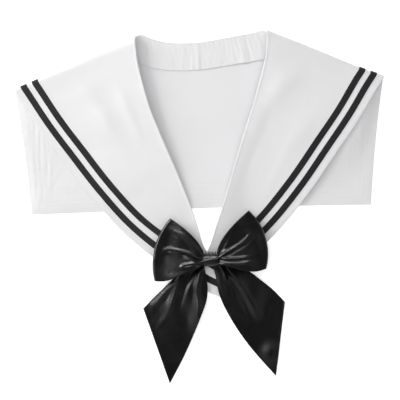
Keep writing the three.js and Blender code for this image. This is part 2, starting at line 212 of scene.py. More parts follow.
end_ribs = (0, 0.0005, 0.0013)  # ribs close together where a front end is rounded off
wing_stations = 150
wing_ribs = len(end_ribs) + wing_stations
fold_steps = 14
fold_reach = 0.95  # share of the shoulder fold's length, from which on it faces straight back
fold_pressed = 0.16  # near the neck it stands out less by this share
side_stations = 44
hem_stations = 120
inner_columns = 40
corner_share = 0.14  # share of the neckline that faces each side of the back panel

# A wing from its front end (0) to the shoulder fold (1): how far out its outer and neck edges lie,
# as shares of half the shoulder and neck spans, how far down, as shares of the way to the front
# end, how much lies under it and how high each edge rises, as shares of the two rises.
left_wing = np.array([
    # at, edge out, edge down, neck out, neck down, over, lap, edge lift, neck lift
    (0, -0.111, 1, -0.338, 1, 0, 1, 0, 0),
    (0.07, -0.011, 0.96, -0.13, 0.962, 0, 1, 0, 0.02),
    (0.16, 0.12, 0.892, 0.039, 0.919, 0, 1, 0, 0.07),
    (0.3, 0.302, 0.777, 0.166, 0.803, 0, 0.1, 0.06, 0.22),
    (0.43, 0.455, 0.656, 0.282, 0.696, 0.3, 0, 0.05, 0.24),
    (0.56, 0.596, 0.512, 0.477, 0.543, 1, 0, 0.06, 0.37),
    (0.71, 0.742, 0.34, 0.69, 0.385, 1, 0, 0.02, 0.62),
    (0.86, 0.88, 0.169, 0.865, 0.232, 1, 0, 0.08, 0.78),
    (0.95, 0.961, 0.055, 0.98, 0.074, 1, 0, 0.25, 0.83),
    (1, 1, 0, 1, 0, 1, 0, 0.5, 0.87),
])
right_wing = np.array([
    (0, -0.1, 1.012, -0.34, 1.012, 0, 0, 0, 0),
    (0.07, -0.01, 0.96, -0.17, 0.962, 0, 0, 0, 0),
    (0.16, 0.115, 0.892, -0.03, 0.919, 0, 0, 0, 0.03),
    (0.3, 0.284, 0.777, 0.123, 0.803, 0, 0, 0.06, 0.19),
    (0.43, 0.43, 0.656, 0.259, 0.696, 0.3, 0, 0.12, 0.27),
    (0.56, 0.572, 0.512, 0.432, 0.543, 1, 0, 0.45, 0.34),
    (0.71, 0.72, 0.34, 0.62, 0.385, 1, 0, 1.1, 0.54),
    (0.86, 0.863, 0.169, 0.804, 0.232, 1, 0, 1.25, 0.7),
    (0.95, 0.948, 0.055, 0.96, 0.074, 1, 0, 0.85, 0.8),
    (1, 0.993, 0, 0.99, 0, 1, 0, 0.5, 0.87),
])
# The back neckline from the left neck point to the right one: place and drop as shares
neckline = np.array([
    (0, 0.3), (0.04, 0.12), (0.11, 0.45), (0.23, 0.87), (0.35, 1),
    (0.5, 0.98), (0.66, 0.72), (0.82, 0.46), (0.91, 0.29), (0.97, 0.14), (1, 0.3),
])

# The bow's knot says where the laid outline is in the frame: it lies a little right of and below
# the place where the two neck edges cross
knot_low, knot_high = (np.array(corner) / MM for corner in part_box("bow_knot"))
knot_middle = (knot_low + knot_high) / 2
crossing = left_wing[2]
knot_aside = 3.9
knot_below = 8.8
knot_from_neck = np.array((
    neck_shift - crossing[3] * neck_span / 2 + knot_aside,
    neck_top + crossing[4] * (front_end_depth - front_drop - neck_top) - knot_below,
))
neck_line_place = knot_middle[:2] - knot_from_neck

# Soft folds in the wings, as lines of places, with their height and half width. Between them the
# cloth is a little uneven, in waves of two lengths: wave and height.
wing_waves = ((45, 0.35), (17, 0.12))
wing_folds = {
    -1: [
        ([(-133, 148), (-109, 110), (-83, 67)], 1.4, 8),
        ([(-90, 139), (-74, 95), (-61, 66)], 1.3, 6),
        ([(-120, 95), (-92, 62), (-62, 28)], 0.5, 9),
    ],
    1: [
        ([(123, 156), (72, 111), (46, 60)], 1.0, 9),
        ([(141, 121), (107, 79), (73, 37)], 0.8, 9),
        ([(97, 150), (84, 118), (66, 84)], 0.5, 7),
        ([(60, 117), (43, 70), (29, 29), (16, -15), (7, -46)], 2.6, 14),
    ],
}
# The back panel stands up a little under the right wing's outer edge: line, height, half width at
# its start and end, and the shares of its length where it falls again
slack_fold = [(199, 134), (151, 67), (104, 0)]
slack_rise = 7
slack_widths = (30, 14)
slack_falls = (0.45, 0.95)
# Elsewhere the panel lies in long gentle waves, and its seams are puckered, more so on the left
panel_wave = 60
panel_wave_height = 0.3
pucker_wave = 24
pucker_heights = (0.02, 0.22)  # away from the left side and along it
pucker_base = 1.6

# Each wing's neck edge has a narrow bead, where its seam is pressed
neck_bead = 0.45
bead_place = 1.3
bead_half_width = 0.9


def mix(a, b, share):
    return a + (b - a) * share


def ease(start, end, x):
    """0 before the start and 1 after the end, with a smooth step between them."""
    t = np.clip((x - start) / (end - start), 0, 1)
    return t * t * (3 - 2 * t)


def unit(vectors):
    return vectors / np.linalg.norm(vectors, axis=-1, keepdims=True)


def between(rows, at):
    """The columns of a table at places between its rows, on a smooth curve through every row."""
    places, values = rows[:, 0], rows[:, 1:]
    spans = np.diff(places)[:, None]
    rises = np.diff(values, axis=0) / spans
    inner = (rises[:-1] * spans[1:] + rises[1:] * spans[:-1]) / (spans[:-1] + spans[1:])
    slopes = np.vstack([rises[:1], inner, rises[-1:]])
    row = np.clip(np.searchsorted(places, at) - 1, 0, len(spans) - 1)
    span = spans[row]
    t = (at - places[row])[:, None] / span
    start = values[row] * (1 + 2 * t) * (1 - t) ** 2 + slopes[row] * span * t * (1 - t) ** 2
    end = values[row + 1] * (3 - 2 * t) * t**2 - slopes[row + 1] * span * t**2 * (1 - t)
    return (start + end).T


def ripple(x, y, wave, seed):
    """Gentle unevenness, mostly from -1 to 1, with its crests about one wave apart."""
    chance = np.random.default_rng(seed)
    total = np.zeros(np.broadcast(x, y).shape)
    count = 7
    for _ in range(count):
        turn, phase, share = chance.uniform((0, 0, 0.7), (math.pi, 2 * math.pi, 1.5))
        total += np.sin((x * math.cos(turn) + y * math.sin(turn)) * 2 * math.pi / (wave * share) + phase)
    return total / math.sqrt(count)


def beside(x, y, line):
    """How far every place is from a line, more than 0 on its left, and how far along it."""
    rows = np.column_stack([np.linspace(0, 1, len(line)), line])
    points = between(rows, np.linspace(0, 1, 8 * (len(line) - 1) + 1)).T
    nearest = np.full(x.shape, np.inf)
    left = np.ones(x.shape)
    along = np.zeros(x.shape)
    for k, (start, end) in enumerate(zip(points, points[1:])):
        run = end - start
        t = np.clip(((x - start[0]) * run[0] + (y - start[1]) * run[1]) / (run @ run), 0, 1)
        off_x, off_y = x - start[0] - t * run[0], y - start[1] - t * run[1]
        distance = np.hypot(off_x, off_y)
        nearer = distance < nearest
        nearest = np.where(nearer, distance, nearest)
        left = np.where(nearer, np.where(run[0] * off_y > run[1] * off_x, 1, -1), left)
        along = np.where(nearer, (k + t) / (len(points) - 1), along)
    return nearest * left, along


def slack_height(x, y):
    """How far the back panel stands up where it is slack."""
    offset, along = beside(x, y, slack_fold)
    crest = np.exp(-((offset / mix(*slack_widths, along)) ** 2))
    return slack_rise * crest * ease(0, 0.25, along) * (1 - ease(*slack_falls, along))


def up_to_neck(plan, neck, inner):
    """Adds columns of places up to the neck edge, closer together near it."""
    if not inner:
        return plan
    last = plan[:, -1:]
    shares = 1 - (1 - np.linspace(0, 1, inner + 1)[1:]) ** 1.5
    return np.concatenate([plan, last + (neck[:, None] - last) * shares[None, :, None]], axis=1)


def lay_wing(rows, side, insets, inner):
    """Middle surface of a wing from its front end to the shoulder fold, and the way to its rim."""
    at = np.concatenate([end_ribs, np.linspace(0.003, 1, wing_stations)])
    edge_out, edge_down, neck_out, neck_down, over, lap, edge_lift, neck_lift = between(rows, at)
    edge = np.column_stack([side * edge_out * shoulder_span / 2, mix(-tip_drop, -front_drop, edge_down)])
    neck = np.column_stack([
        neck_shift + side * neck_out * neck_span / 2,
        mix(neck_top, front_end_depth - front_drop, neck_down),
    ])
    travel = np.gradient(edge, axis=0)
    inward = side * unit(np.column_stack([-travel[:, 1], travel[:, 0]]))
    along = unit(neck - edge)
    along /= np.sum(along * inward, axis=1, keepdims=True)
    border = np.outer(1 - ease(0.1, 0.32, at), front_border[side] * ease(0, tape_border, insets))
    spacing = front_spacing[side] * ease(tape_width, tape_width + tape_spacing, insets - tape_border)
    insets = insets + border + np.outer(1 - ease(0.15, 0.5, at), spacing)
    plan = up_to_neck(edge[:, None] + along[:, None] * insets[..., None], neck, inner)
    width = np.linalg.norm(neck - edge, axis=1)[:, None]
    share = np.clip(np.linalg.norm(plan - edge[:, None], axis=2) / width, 0, 1)
    base = panel_level + over * over_panel + lap * lap_lift
    low, high = (base + edge_lift * edge_rise)[:, None], (base + neck_lift * neck_rise)[:, None]
    height = mix(low, high, share**neck_roll)
    plan = plan + neck_line_place
    x, y = plan[..., 0], plan[..., 1]
    loose = (1 - ease(0.9, 1, at))[:, None] * ease(0.1, 0.3, at)[:, None] * ease(0.05, 0.3, share)
    for line, rise, half_width in wing_folds[side]:
        offset, length = beside(x, y, line)
        crest = np.exp(-((offset / half_width) ** 2)) * ease(0, 0.3, length) * (1 - ease(0.6, 1, length))
        height = height + loose * rise * crest
    for (wave, rise), seed in zip(wing_waves, (3, 8)):
        height = height + loose * rise * ripple(x, y, wave, seed + side)
    bead = np.exp(-((((1 - share) * width - bead_place) / bead_half_width) ** 2))
    height = np.maximum(height + neck_bead * bead * ease(0.04, 0.1, at)[:, None], panel_level)
    rim = np.minimum(np.minimum(at[:, None] * front_drop, share * width), (1 - share) * width)
    return np.dstack([plan, height]), rim


def side_inwards(fold_line, corner):
    """Which way a side's insets run inwards, at its fold line and at its mitred hem corner."""
    run = corner - fold_line["edge"]
    across = unit(np.array([-run[1], run[0]]))
    normal = across * -np.sign(across[0] * corner[0])
    toward = unit(fold_line["neck"] - fold_line["edge"])
    hem_normal = unit(np.array([hem_tilt, back_hem_width]))
    mitre = np.linalg.solve(np.array([normal, hem_normal]), np.ones(2))
    return toward / (toward @ normal), mitre


def edge_ribs(start, start_inwards, end, end_inwards, insets, shares, bow):
    """Ribs that run inwards from an edge between two places, with the edge a little bowed."""
    first = start + start_inwards * insets[:, None]
    last = end + end_inwards * insets[:, None]
    bowed = bow * np.sin(math.pi * shares)[:, None, None]
    return mix(first[None], last[None], shares[:, None, None]) + bowed


def plan_back(left, right, insets):
    """Ribs of the back panel seen from above, and where each would meet the neckline."""
    left_corner, right_corner = neck_line_place + np.array([
        (-back_hem_width / 2 - hem_shift, hem_tilt / 2 - back_drop),
        (back_hem_width / 2 - hem_shift, -hem_tilt / 2 - back_drop),
    ])
    left_in, left_mitre = side_inwards(left, left_corner)
    right_in, right_mitre = side_inwards(right, right_corner)
    side_shares = np.arange(side_stations) / side_stations
    hem_shares = np.linspace(0, 1, hem_stations + 1)
    side_bow = np.array([side_hollow, 0])
    hem_bow = np.array([0, hem_rise])
    ribs = np.concatenate([
        edge_ribs(left["edge"], left_in, left_corner, left_mitre, insets, side_shares, side_bow),
        edge_ribs(left_corner, left_mitre, right_corner, right_mitre, insets, hem_shares, hem_bow),
        edge_ribs(right["edge"], right_in, right_corner, right_mitre, insets, side_shares, -side_bow)[::-1],
    ])
    at = np.concatenate([
        corner_share * side_shares,
        mix(corner_share, 1 - corner_share, hem_shares),
        1 - corner_share * side_shares[::-1],
    ])
    across = mix(left["neck"][0], right["neck"][0], at)
    drop = between(neckline, at)[0] * neck_dip
    return ribs, np.column_stack([across, neck_line_place[1] - drop])


def lay_back(left, right, insets, inner):
    """Middle surface of the back panel, down its left side, along the hem and up its right side,
    and the way to its rim."""
    plan, neck = plan_back(left, right, insets)
    distance = np.broadcast_to(insets[None, :], plan.shape[:2])
    last = plan[:, -1:]
    plan = up_to_neck(plan, neck, inner)
    beyond = np.linalg.norm(plan[:, len(insets):] - last, axis=2)
    distance = np.concatenate([distance, insets[-1] + beyond], axis=1)
    to_neck = np.linalg.norm(plan - neck[:, None], axis=2)
    x, y = plan[..., 0], plan[..., 1]
    raised = ease(0, tape_border, distance) * (1 - ease(tapes_end, tapes_end + 6 * tape_runoff, distance))
    left_side = ease(-112, -150, x)
    puckers = ripple(x * 6, y * 0.5, pucker_wave, 21) + 0.7 * ripple(x * 11, y * 1.2, pucker_wave, 22)
    seam = ease(1, 7, distance) * (1 - ease(30, 50, distance)) * mix(*pucker_heights, left_side)
    calm = ease(20, 70, distance) * ease(4, 20, to_neck)
    lying = panel_level + tape_lift * raised
    waves = calm * panel_wave_height * (1 + ripple(x, y, panel_wave, 5))
    height = lying + seam * (pucker_base + puckers) + waves
    height = np.maximum(height + slack_height(x, y) * ease(0, 20, distance), lying)
    return np.dstack([plan, height]), np.minimum(distance, to_neck)


def lay_fold(upper, lower, side):
    """The round shoulder fold between a wing's last rib and the rib of the back panel under it."""
    turn = (math.pi * np.arange(1, fold_steps) / fold_steps)[:, None, None]
    radius = ((upper[:, 2] - lower[:, 2]) / 2)[None, :, None]
    slope = unit(np.array([side * shoulder_fall, (shoulder_span - neck_span) / 2]))
    fold_length = fold_reach * (shoulder_span - neck_span) / 2
    share = np.linalg.norm(upper[:, :2] - upper[0, :2], axis=1) / fold_length
    out = unit(mix(slope, np.array([0, 1]), np.clip(share, 0, 1)[:, None]))
    ribs = mix(upper[None], lower[None], (1 - np.cos(turn)) / 2)
    swing = 1 - fold_pressed * ease(0.75, 1, share)[:, None]
    ribs[..., :2] += out[None] * radius * swing * np.sin(turn)
    return ribs


def lay_collar(insets, inner=0):
    """Middle surface of the whole cloth, rib by rib from the left front end to the right one."""
    insets = np.array(insets, float)
    wings = {}
    for side, rows in ((-1, left_wing), (1, right_wing)):
        outline, _ = lay_wing(rows, side, np.zeros(1), 1)
        fold_line = {"edge": outline[-1, 0, :2], "neck": outline[-1, -1, :2]}
        wings[side] = lay_wing(rows, side, insets, inner), fold_line
    back, back_rim = lay_back(wings[-1][1], wings[1][1], insets, inner)
    (left, left_rim), (right, right_rim) = wings[-1][0], wings[1][0]
    left_fold = lay_fold(left[-1], back[0], -1)
    right_fold = lay_fold(right[-1], back[-1], 1)[::-1]
    grid = np.concatenate([left, left_fold, back, right_fold, right[::-1]])
    rims = [left_rim] + [left_rim[-1:]] * len(left_fold) + [back_rim] + [right_rim[-1:]] * len(right_fold)
    return grid, np.concatenate([*rims, right_rim[::-1]])


def grid_normals(grid):
    """The normals of a grid of places, towards the right side of the cloth."""
    return unit(np.cross(np.gradient(grid, axis=1), np.gradient(grid, axis=0)))


def rounded_edge(rim, radius, least):
    """Share of the full thickness at distances from a rim that is rounded off over a radius."""
    return np.sqrt(1 - (1 - np.clip(rim / radius, least, 1)) ** 2)


def mesh_piece(name, points, faces, material, uv):
    """A smooth mesh object from places in millimetres, with a UV map in metres."""
    mesh = bpy.data.meshes.new(name)
    mesh.from_pydata((points * MM).tolist(), [], faces.tolist())
    mesh.polygons.foreach_set("use_smooth", np.ones(len(mesh.polygons), bool))
    corners = np.empty(len(mesh.loops), int)
    mesh.loops.foreach_get("vertex_index", corners)
    mesh.uv_layers.new(name="cloth").data.foreach_set("uv", (uv[corners] * MM).ravel())
    mesh.materials.append(material)
    piece = bpy.data.objects.new(name, mesh)
    bpy.context.scene.collection.objects.link(piece)
    return piece


def cloth_piece(name, grid, low, high, material):
    """A closed sheet on a grid of places, between two distances from it, with a UV map of its
    length and width in metres of cloth."""
    normals = grid_normals(grid)
    rows, width = grid.shape[:2]
    low, high = (np.broadcast_to(value, (rows, width)) for value in (low, high))
    layers = [grid + normals * distance[..., None] for distance in (high, low)]
    points = np.concatenate([layer.reshape(-1, 3) for layer in layers])
    index = np.arange(rows * width).reshape(rows, width)
    corners = [index[:-1, :-1], index[:-1, 1:], index[1:, 1:], index[1:, :-1]]
    upper = np.stack([corner.ravel() for corner in corners], axis=1)
    lower = upper[:, ::-1] + rows * width
    rim = np.concatenate([index[0, :-1], index[:-1, -1], index[-1, :0:-1], index[:0:-1, 0]])
    following = np.roll(rim, -1)
    edge = np.stack([rim + rows * width, following + rows * width, following, rim], axis=1)
    along = np.cumsum(np.linalg.norm(np.diff(grid, axis=0, prepend=grid[:1]), axis=2).mean(axis=1))
    across = np.cumsum(np.linalg.norm(np.diff(grid, axis=1, prepend=grid[:, :1]), axis=2), axis=1)
    uv = np.stack([np.broadcast_to(along[:, None], (rows, width)), across], axis=2).reshape(-1, 2)
    return mesh_piece(name, points, np.concatenate([upper, lower, edge]), material, np.tile(uv, (2, 1)))


def new_finish(name, settings):
    """A material and its node tree, with the shader's own sockets set."""
    material = bpy.data.materials.new(name)
    material.use_nodes = True
    shader = material.node_tree.nodes["Principled BSDF"]
    for socket, value in settings.items():
        shader.inputs[socket].default_value = value
    return material, Shade(material.node_tree)


def feed(material, links):
    """Links what changes over the surface to the material's shader."""
    shader = material.node_tree.nodes["Principled BSDF"]
    for socket, shade in links.items():
        material.node_tree.links.new(shade.output, shader.inputs[socket])


def blended(colour_a, colour_b, factor):
    """A colour between two, by a factor that changes over the surface."""
    inputs = {0: factor, 6: (*colour_a, 1), 7: (*colour_b, 1)}
    return factor.node("ShaderNodeMix", {"data_type": "RGBA"}, inputs, out=2)


def weave_height(tree, place, pitch):
    """Threads that pass over and under each other, a pitch apart."""
    turns = 2 * math.pi / (pitch * MM)
    parts = tree.node("ShaderNodeSeparateXYZ", inputs={0: place})
    return tree.math("SINE", parts["X"] * turns) * tree.math("SINE", parts["Y"] * turns)


def cotton_finish(name, colour):
    """Matt plain-weave cotton with slightly uneven threads and faint creases."""
    material, tree = new_finish(name, {"Roughness": 0.85, "Specular IOR Level": 0.25, "Sheen Weight": 0.12})
    place = tree.node("ShaderNodeTexCoord", out="Object")
    weave = weave_height(tree, place, 0.6)
    slub = tree.node("ShaderNodeTexNoise", inputs={"Vector": place, "Scale": 900, "Detail": 3})
    crease = tree.node("ShaderNodeTexNoise", inputs={"Vector": place, "Scale": 42, "Detail": 4})
    cloud = tree.node("ShaderNodeTexNoise", inputs={"Vector": place, "Scale": 14, "Detail": 2})
    height = weave * 0.35 + slub * 0.5 + crease * 2.2
    bump = tree.node("ShaderNodeBump", inputs={"Strength": 0.5, "Distance": 0.25 * MM, "Height": height})
    dimmer = tuple(part * 0.97 for part in colour)
    feed(material, {"Base Color": blended(dimmer, colour, cloud * 1.4 - 0.2), "Normal": bump})
    return material


rim_insets = (0, 0.12, 0.35, 0.7, 1.5, 3, 4.5, 6)
strip_insets = np.linspace(tape_border, tapes_end, 13)
cotton = cotton_finish("white_cotton", (0.83, 0.83, 0.845))
cloth_grid, cloth_rim = lay_collar([*rim_insets, *strip_insets], inner_columns)
cloth_half = cloth_thickness / 2 * rounded_edge(cloth_rim, 0.7, 0.03)
cloth = cloth_piece("cloth", cloth_grid, -cloth_half, cloth_half, cotton)
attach(cloth, "root")
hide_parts("collar_cloth")

# Tapes
# Two flat woven tapes of matt black cotton, sewn on the right side along the whole outer edge, so
# they turn over the shoulder folds and run on under the back panel.
tape_thickness = 0.6
tape_gap = 0.04  # the tapes lie this far off the cloth, where their stitches hold them
tape_shares = np.array((0, 0.02, 0.06, 0.15, 0.3, 0.5, 0.7, 0.85, 0.94, 0.98, 1))

tape_black, tree = new_finish("black_tape", {"Roughness": 0.72, "Specular IOR Level": 0.3})
place = tree.node("ShaderNodeUVMap", {"uv_map": "cloth"})
parts = tree.node("ShaderNodeSeparateXYZ", inputs={0: place})
ribs = tree.math("SINE", parts["X"] * (2 * math.pi / (0.7 * MM)))
fuzz = tree.node("ShaderNodeTexNoise", inputs={"Vector": place, "Scale": 1500, "Detail": 2})
wear = tree.node("ShaderNodeTexNoise", inputs={"Vector": place, "Scale": 60, "Detail": 3})
bump = tree.node(
    "ShaderNodeBump", inputs={"Strength": 0.6, "Distance": 0.15 * MM, "Height": ribs + fuzz * 1.5}
)
tape_colour = blended((0.006, 0.006, 0.007), (0.014, 0.014, 0.016), wear)
feed(tape_black, {"Base Color": tape_colour, "Normal": bump})

tape_rim = np.minimum(tape_shares, 1 - tape_shares) * tape_width
tape_low = cloth_thickness / 2 + tape_gap
tape_high = tape_low + tape_thickness * rounded_edge(tape_rim, 0.4, 0.1)
for name, start in (("outer", tape_border), ("inner", tape_border + tape_width + tape_spacing)):
    tape_grid, _ = lay_collar(start + tape_shares * tape_width)
    tape = cloth_piece("woven_tape_" + name, tape_grid, tape_low, tape_high, tape_black)
    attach(tape, "root")
    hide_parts("tape_" + name)

# Stitching
# Lockstitch in black thread holds both edges of each tape, and its under side shows on the wrong
# side of the back panel as rows of small dots. A white row holds the turned-in outer edge.
stitch_pitch = 2.6
stitch_length = 2.0
stitch_width = 0.38
dot_length = 0.7
dot_width = 0.4
tape_seam = 0.9  # stitches run this far inside a tape's edge
edge_seam = 2.2

stitching = bpy.data.node_groups.new("stitching", "GeometryNodeTree")
stitching.interface.new_socket("Rows", in_out="INPUT", socket_type="NodeSocketGeometry")
for name in ("Pitch", "Length", "Width"):
    stitching.interface.new_socket(name, in_out="INPUT", socket_type="NodeSocketFloat")
stitching.interface.new_socket("Thread", in_out="INPUT", socket_type="NodeSocketMaterial")
stitching.interface.new_socket("Stitches", in_out="OUTPUT", socket_type="NodeSocketGeometry")


def geometry_node(kind, settings=None, inputs=None):
    """Adds a node to the stitching tree, with its settings and then its inputs."""
    made = stitching.nodes.new(kind)
    for name, value in (settings or {}).items():
        setattr(made, name, value)
    for key, value in (inputs or {}).items():
        if isinstance(value, bpy.types.NodeSocket):
            stitching.links.new(value, made.inputs[key])
        else:
            made.inputs[key].default_value = value
    return made.outputs


given = geometry_node("NodeGroupInput")
curves = geometry_node("GeometryNodeMeshToCurve", inputs={"Mesh": given["Rows"]})
spots = geometry_node(
    "GeometryNodeCurveToPoints", {"mode": "LENGTH"}, {"Curve": curves["Curve"], "Length": given["Pitch"]}
)
turned = geometry_node(
    "FunctionNodeAxesToRotation",
    {"primary_axis": "X", "secondary_axis": "Z"},
    {"Primary Axis": spots["Tangent"], "Secondary Axis": (0, 0, 1)},
)
thread_size = geometry_node(
    "ShaderNodeCombineXYZ", inputs={"X": given["Length"], "Y": given["Width"], "Z": given["Width"]}
)
stitch_form = geometry_node("GeometryNodeMeshIcoSphere", inputs={"Radius": 0.5, "Subdivisions": 1})
placed = geometry_node(
    "GeometryNodeInstanceOnPoints",
    inputs={
        "Points": spots["Points"],
        "Instance": stitch_form["Mesh"],
        "Rotation": turned["Rotation"],
        "Scale": thread_size["Vector"],
    },
)
realized = geometry_node("GeometryNodeRealizeInstances", inputs={"Geometry": placed["Instances"]})
coated = geometry_node(
    "GeometryNodeSetMaterial", inputs={"Geometry": realized["Geometry"], "Material": given["Thread"]}
)
geometry_node("NodeGroupOutput", inputs={"Stitches": coated["Geometry"]})


def stitch_rows(name, rows, thread, length=stitch_length, width=stitch_width):
    """Rows of stitches along lines of places, as a plain mesh."""
    points = np.concatenate(rows)
    starts = np.cumsum([0, *(len(row) for row in rows)])
    edges = np.concatenate([
        np.stack([np.arange(a, b - 1), np.arange(a + 1, b)], axis=1) for a, b in zip(starts, starts[1:])
    ])
    lines = bpy.data.meshes.new(name + "_rows")
    lines.from_pydata((points * MM).tolist(), edges.tolist(), [])
    piece = bpy.data.objects.new(name, lines)
    bpy.context.scene.collection.objects.link(piece)
    maker = piece.modifiers.new("stitching", "NODES")
    maker.node_group = stitching
    sizes = {"Pitch": stitch_pitch * MM, "Length": length * MM, "Width": width * MM, "Thread": thread}
    for item in stitching.interface.items_tree:
        if item.in_out == "INPUT" and item.name in sizes:
            maker[item.identifier] = sizes[item.name]
    made = piece.evaluated_get(bpy.context.evaluated_depsgraph_get())
    mesh = bpy.data.meshes.new_from_object(made)
    piece.modifiers.remove(maker)
    piece.data = mesh
    mesh.polygons.foreach_set("use_smooth", np.ones(len(mesh.polygons), bool))
    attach(piece, "root")
    return piece


def cloth_line(inset, lift):
    """A line round the collar at a distance from its outer edge, lifted towards the right side."""
    grid, _ = lay_collar((inset - 0.4, inset, inset + 0.4))
    return grid[:, 1] + grid_normals(grid)[:, 1] * lift


def thread_finish(name, dark, light, tone_scale=2500):
    """Twisted cotton thread."""
    material, tree = new_finish(name, {"Roughness": 0.65, "Specular IOR Level": 0.3})
    place = tree.node("ShaderNodeTexCoord", out="Object")
    twist = tree.node("ShaderNodeTexNoise", inputs={"Vector": place, "Scale": 2500, "Detail": 1})
    bump = tree.node("ShaderNodeBump", inputs={"Strength": 0.5, "Distance": 0.1 * MM, "Height": twist})
    tone = tree.node("ShaderNodeTexNoise", inputs={"Vector": place, "Scale": tone_scale, "Detail": 1})
    feed(material, {"Base Color": blended(dark, light, tone * 3 - 1), "Normal": bump})
    return material


black_thread = thread_finish("black_thread", (0.012, 0.012, 0.013), (0.035, 0.035, 0.037))
dot_thread = thread_finish("dot_thread", (0.16, 0.16, 0.18), (0.78, 0.78, 0.8), 350)
white_thread = thread_finish("white_thread", (0.7, 0.7, 0.72), (0.82, 0.82, 0.83))

right_start = len(cloth_grid) - wing_ribs
left_ribs = slice(2, wing_ribs + fold_steps // 2)
right_ribs = slice(right_start - fold_steps // 2, -2)
back_ribs = slice(wing_ribs + fold_steps, right_start - fold_steps)
tape_rows, wrong_rows = [], []
for start in (tape_border, tape_border + tape_width + tape_spacing):
    for inset in (start + tape_seam, start + tape_width - tape_seam):
        upper = cloth_line(inset, cloth_thickness / 2 + tape_gap + tape_thickness)
        tape_rows += [upper[left_ribs], upper[right_ribs]]
        wrong_rows.append(cloth_line(inset, -cloth_thickness / 2)[back_ribs])
edge_line = cloth_line(edge_seam, cloth_thickness / 2)
edge_rows = [edge_line[left_ribs], edge_line[right_ribs]]
tape_stitches = stitch_rows("tape_stitches", tape_rows, black_thread)
wrong_stitches = stitch_rows(
    "wrong_side_stitches", wrong_rows, dot_thread, dot_length, dot_width
)
edge_stitches = stitch_rows("edge_stitches", edge_rows, white_thread)

# Neck band
# A strip of the same cotton, gathered into the seam along the back neckline. It lies on the wrong
# side of the back panel, in fine puckers at its top edge and soft upright folds below.
band_height = 30
band_thickness = 0.8
band_tuck = 8
band_margin = 0.006
band_proud = 2.4
band_lift = (0.8, 0.5)  # its left and right ends reach this much further up the neckline
panel_top = 1.2  # upper side of the back panel under it
band_gap = 0.25  # air under it, where it lies flattest
band_stations = 340
band_columns = 40
# The folds that stand out: place along the band as a share, height and half width
band_folds = [
    (0.472, 0.7, 2), (0.43, 0.25, 1.2), (0.62, 0.3, 5),
    (0.77, 0.4, 4), (0.86, 0.35, 3), (0.93, 0.2, 2),
]
fine_gather_count = 58
fine_gather_height = 0.13
fine_gather_reach = 8


def neck_point(rows, side):
    """How far across the neck end of a wing's shoulder fold lies."""
    ribs, _ = lay_wing(rows, side, np.zeros(1), 1)
    return ribs[-1, -1, 0]


band_at = np.linspace(0, 1, band_stations + 1)
band_rows = np.linspace(0.05, 0.975, band_columns)
band_down = np.concatenate([(0, 0.004, 0.012, 0.025), band_rows, (0.988, 0.996, 1)])
band_inside = mix(band_margin, 1 - band_margin, band_at)
band_ends = neck_point(left_wing, -1), neck_point(right_wing, 1)
at, down = np.meshgrid(band_at, band_down, indexing="ij")
band_x = mix(*band_ends, band_inside)[:, None] + band_tuck * down * (2 * at - 1)
band_top = neck_line_place[1] - between(neckline, band_inside)[0] * neck_dip + band_proud
band_top = band_top + band_lift[0] * ease(0.07, 0, band_at) + band_lift[1] * ease(0.93, 1, band_at)
band_y = band_top[:, None] - band_height * down
wander = at + 0.012 * np.sin(2 * math.pi * 2.3 * at + 1) + 0.006 * np.sin(2 * math.pi * 5.1 * at)
uneven = 0.4 + 0.6 * ripple(at * 100, down * 6, 35, 2) ** 2
soft_folds = 0.2 * (1 + np.sin(2 * math.pi * 9 * wander)) * uneven
for place, rise, half_width in band_folds:
    off_fold = (at - place - 0.01 * (down - 0.5)) * neck_span
    soft_folds = soft_folds + rise * np.exp(-((off_fold / half_width) ** 2))
fine_gathers = fine_gather_height * np.sin(2 * math.pi * fine_gather_count * wander + 3 * np.sin(9 * at))
fine_gathers = fine_gathers * np.exp(-down * band_height / fine_gather_reach)
band_level = panel_top + band_gap + band_thickness / 2
band_z = band_level + soft_folds * mix(0.35, 1, down) + fine_gathers + 0.3 * down**3
band_z = band_z + 0.07 * ripple(band_x * 3, band_y, 14, 12)
band_rim = np.minimum(down, 1 - down) * band_height
band_half = band_thickness / 2 * rounded_edge(band_rim, 0.5, 0.05)[::-1]
band_grid = np.dstack([band_x, band_y, band_z])[::-1]
band = cloth_piece("gathered_band", band_grid, -band_half, band_half, cotton)
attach(band, "root")
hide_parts("neck_band")

# Bow loops
# Black satin ribbon, gathered in the knot. Each loop leaves the knot low, turns over at its outer
# end and comes back above. Places are measured from the middle of the knot.
knot_width = 15.5
knot_depth = knot_high[2] - knot_low[2]
pinch_width = 10.5
pinch_half = 2.2
loop_reach = 62
loop_puff = 5  # half of its height where it is most open
loop_flatter = 0.62  # and the share of that which is left at its outer end
loop_droop = 2.2
loop_hollow = 2.2  # its upper side sinks this far along its middle
loop_open = 0.962  # it turns over beyond this share of its reach
loop_tuck = 0.75  # it starts this far inside the knot, as a share of half the knot's width
loop_along = 64
loop_turn = 60
loop_across = 96
pleat_count = 4  # pleats side by side in the knot
ribbon_thickness = 0.7

# Angles and reaches of the upper and lower edge, how late they swing out to their angles, how far
# the lower edge bellies down and how much the end is cut straighter than an arc
loop_shapes = {
    "left": {
        "side": -1,
        "angles": (47.4, -19.5),
        "reaches": (0.99, 1.04),
        "swings": (0.62, 1),
        "belly": 4.3,
        "cut": 0.03,
    },
    "right": {
        "side": 1,
        "angles": (49.6, -11.8),
        "reaches": (1.07, 0.98),
        "swings": (0.6, 0.75),
        "belly": 4.4,
        "cut": 0,
    },
}
